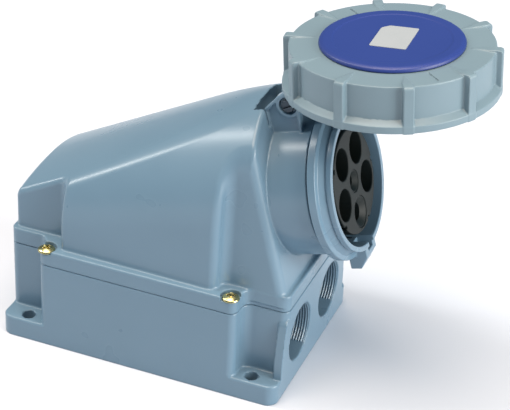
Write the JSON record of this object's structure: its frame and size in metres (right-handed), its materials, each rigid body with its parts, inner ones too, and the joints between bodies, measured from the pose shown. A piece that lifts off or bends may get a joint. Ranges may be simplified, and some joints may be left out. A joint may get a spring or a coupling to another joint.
{
  "type": "generator inlet box",
  "caption": "Wall-mounted industrial power socket box: base with threaded cable entries, sloping hood, tilted round socket and a hinged lid with a ribbed bayonet ring.",
  "frame": {"origin": "middle of the base's flat back face, which lies against the wall", "axes": "+Z away from the wall, +X along the box towards the socket and the cable entries, +Y to the left seen from the socket's side"},
  "size_m": [0.2496, 0.1172, 0.2013],
  "materials": {
    "housing_plastic": "blue-grey moulded thermoplastic, satin with a fine spark texture",
    "ring_plastic": "light grey moulded thermoplastic, satin",
    "lid_blue": "deep blue moulded thermoplastic, fine grain",
    "carrier_plastic": "near-black glass-filled plastic",
    "seal_rubber": "black sealing rubber",
    "contact_brass": "turned brass, bright",
    "plated_screw": "steel with yellow iridescent zinc plating",
    "screw_steel": "bright stainless steel",
    "label_stock": "white coated sticker"
  },
  "bodies": {
    "root": {"base_housing": "housing_plastic", "housing_gasket": "seal_rubber", "cover_housing": "housing_plastic", "cover_screw_1": "plated_screw", "cover_screw_2": "plated_screw", "cover_screw_3": "plated_screw", "cover_screw_4": "plated_screw", "socket_collar": "housing_plastic", "collar_gasket": "seal_rubber", "socket_lock_ring": "carrier_plastic", "contact_carrier": "carrier_plastic", "terminal_block": "carrier_plastic", "contact_L1": "contact_brass", "contact_L2": "contact_brass", "contact_N": "contact_brass", "contact_L3": "contact_brass", "contact_PE": "contact_brass", "contact_pilot": "contact_brass", "terminal_screw_L1": "screw_steel", "terminal_screw_L2": "screw_steel", "terminal_screw_N": "screw_steel", "terminal_screw_L3": "screw_steel", "terminal_screw_PE": "screw_steel", "carrier_screw_1": "screw_steel", "carrier_screw_2": "screw_steel", "carrier_screw_3": "screw_steel", "hinge_pin": "screw_steel", "hinge_clip": "screw_steel"},
    "lid": {"lid_disc": "lid_blue", "lid_plate": "carrier_plastic", "lid_gasket": "seal_rubber", "lid_hinge_arm": "housing_plastic", "rating_label": "label_stock", "lid_screw_1": "screw_steel", "lid_screw_2": "screw_steel", "lid_screw_3": "screw_steel", "arm_screw_1": "screw_steel", "arm_screw_2": "screw_steel"},
    "ring": {"bayonet_ring": "ring_plastic"}
  },
  "joints": [
    {"name": "lid_hinge", "type": "hinge", "parent": "root", "child": "lid", "pos_m": [0.06386, 0, 0.15619], "axis": [0, 1, 0], "range_deg": [-10, 78.2]},
    {"name": "ring_turn", "type": "hinge", "parent": "lid", "child": "ring", "pos_m": [0.1131, 0, 0.1729], "axis": [-0.0781, 0, 0.9969], "range_deg": [0, 60]}
  ]
}
